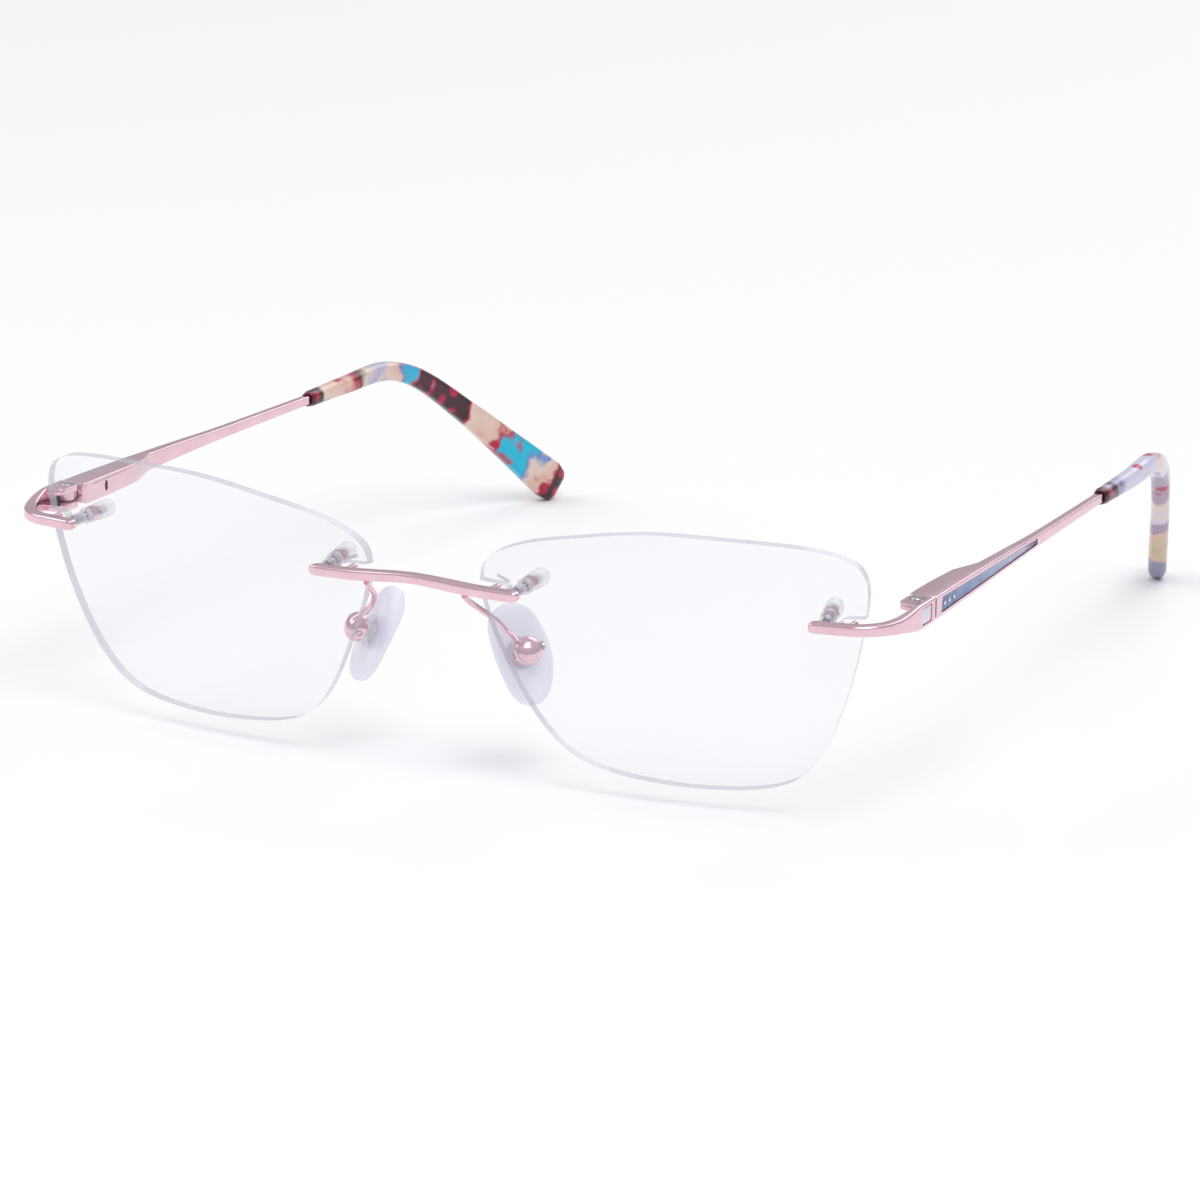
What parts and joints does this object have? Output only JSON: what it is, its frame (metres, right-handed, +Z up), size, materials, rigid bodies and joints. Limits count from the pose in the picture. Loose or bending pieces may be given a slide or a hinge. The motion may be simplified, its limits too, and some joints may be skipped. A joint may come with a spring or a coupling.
{
  "type": "rimless eyeglasses",
  "caption": "Rimless spectacles: clear drilled lenses on a slim metal bridge and endpieces, sprung folding temples with mottled ear tips, and rocking nose pads.",
  "frame": {"origin": "on the surface the glasses stand on, under the middle of their box", "axes": "+Z up, -Y out of the front of the lenses, +Y back along the open temples, +X to the wearer's left"},
  "size_m": [0.1348, 0.1486, 0.0395],
  "materials": {
    "rose_metal": "polished rose plating",
    "steel": "bright",
    "lens": "clear with polished edge",
    "clear_plastic": "clear",
    "silicone": "clear soft silicone, pale lavender",
    "pearl": "pearly pale lilac",
    "enamel": "steel blue enamel",
    "stone": "cut, sparkling",
    "acetate": "polished mottled acetate: burgundy, cream, turquoise, crimson"
  },
  "bodies": {
    "front": {"bridge": "rose_metal", "lens_left": "lens", "endpiece_left": "rose_metal", "endpiece_panel_left": "pearl", "pad_arm_left": "rose_metal", "pad_box_left": "rose_metal", "pad_screw_left": "steel", "stud_nasal_left": "steel", "sleeve_nasal_left": "clear_plastic", "nut_nasal_left": "rose_metal", "end_cap_nasal_left": "clear_plastic", "stud_temporal_left": "steel", "sleeve_temporal_left": "clear_plastic", "nut_temporal_left": "rose_metal", "end_cap_temporal_left": "clear_plastic", "lens_right": "lens", "endpiece_right": "rose_metal", "endpiece_panel_right": "pearl", "pad_arm_right": "rose_metal", "pad_box_right": "rose_metal", "pad_screw_right": "steel", "stud_nasal_right": "steel", "sleeve_nasal_right": "clear_plastic", "nut_nasal_right": "rose_metal", "end_cap_nasal_right": "clear_plastic", "stud_temporal_right": "steel", "sleeve_temporal_right": "clear_plastic", "nut_temporal_right": "rose_metal", "end_cap_temporal_right": "clear_plastic"},
    "left_hinge_screw": {"hinge_screw_left": "steel"},
    "left_hinge_carrier": {"hinge_knuckle_left": "rose_metal", "guide_rod_left": "steel", "hinge_spring_left": "steel"},
    "left_temple": {"temple_left": "rose_metal", "temple_inlay_left": "enamel", "stone_1_left": "stone", "stone_2_left": "stone", "stone_3_left": "stone", "temple_tip_left": "acetate"},
    "left_nose_pad": {"nose_pad_left": "silicone", "pad_core_left": "clear_plastic"},
    "right_hinge_screw": {"hinge_screw_right": "steel"},
    "right_hinge_carrier": {"hinge_knuckle_right": "rose_metal", "guide_rod_right": "steel", "hinge_spring_right": "steel"},
    "right_temple": {"temple_right": "rose_metal", "temple_inlay_right": "enamel", "stone_1_right": "stone", "stone_2_right": "stone", "stone_3_right": "stone", "temple_tip_right": "acetate"},
    "right_nose_pad": {"nose_pad_right": "silicone", "pad_core_right": "clear_plastic"}
  },
  "joints": [
    {"name": "left_overflex", "type": "hinge", "parent": "front", "child": "left_hinge_screw", "pos_m": [0.0651, -0.05515, 0.02876], "axis": [0, 0, 1], "range_deg": [-12, 0], "stiffness_Nm_per_rad": 0.15},
    {"name": "left_fold", "type": "hinge", "parent": "left_hinge_screw", "child": "left_hinge_carrier", "pos_m": [0.0651, -0.05515, 0.02876], "axis": [0, 0, 1], "range_deg": [0, 76]},
    {"name": "left_spring_travel", "type": "slide", "parent": "left_hinge_carrier", "child": "left_temple", "axis": [0, 1, 0], "range_m": [0, 0.00062], "deforming": ["hinge_spring_left"]},
    {"name": "left_pad_rock", "type": "hinge", "parent": "front", "child": "left_nose_pad", "pos_m": [0.0131, -0.06525, 0.01891], "axis": [0.653, 0.7184, 0.24], "range_deg": [-8, 8]},
    {"name": "right_overflex", "type": "hinge", "parent": "front", "child": "right_hinge_screw", "pos_m": [-0.0651, -0.05515, 0.02876], "axis": [0, 0, -1], "range_deg": [-12, 0], "stiffness_Nm_per_rad": 0.15},
    {"name": "right_fold", "type": "hinge", "parent": "right_hinge_screw", "child": "right_hinge_carrier", "pos_m": [-0.0651, -0.05515, 0.02876], "axis": [0, 0, -1], "range_deg": [0, 86]},
    {"name": "right_spring_travel", "type": "slide", "parent": "right_hinge_carrier", "child": "right_temple", "axis": [0, 1, 0], "range_m": [0, 0.00062], "deforming": ["hinge_spring_right"]},
    {"name": "right_pad_rock", "type": "hinge", "parent": "front", "child": "right_nose_pad", "pos_m": [-0.0131, -0.06525, 0.01891], "axis": [0.653, -0.7184, -0.24], "range_deg": [-8, 8]}
  ],
  "couplings": [
    {"joint": "left_spring_travel", "follows": "left_overflex", "m_per_rad": -0.00286},
    {"joint": "right_spring_travel", "follows": "right_overflex", "m_per_rad": -0.00286}
  ]
}
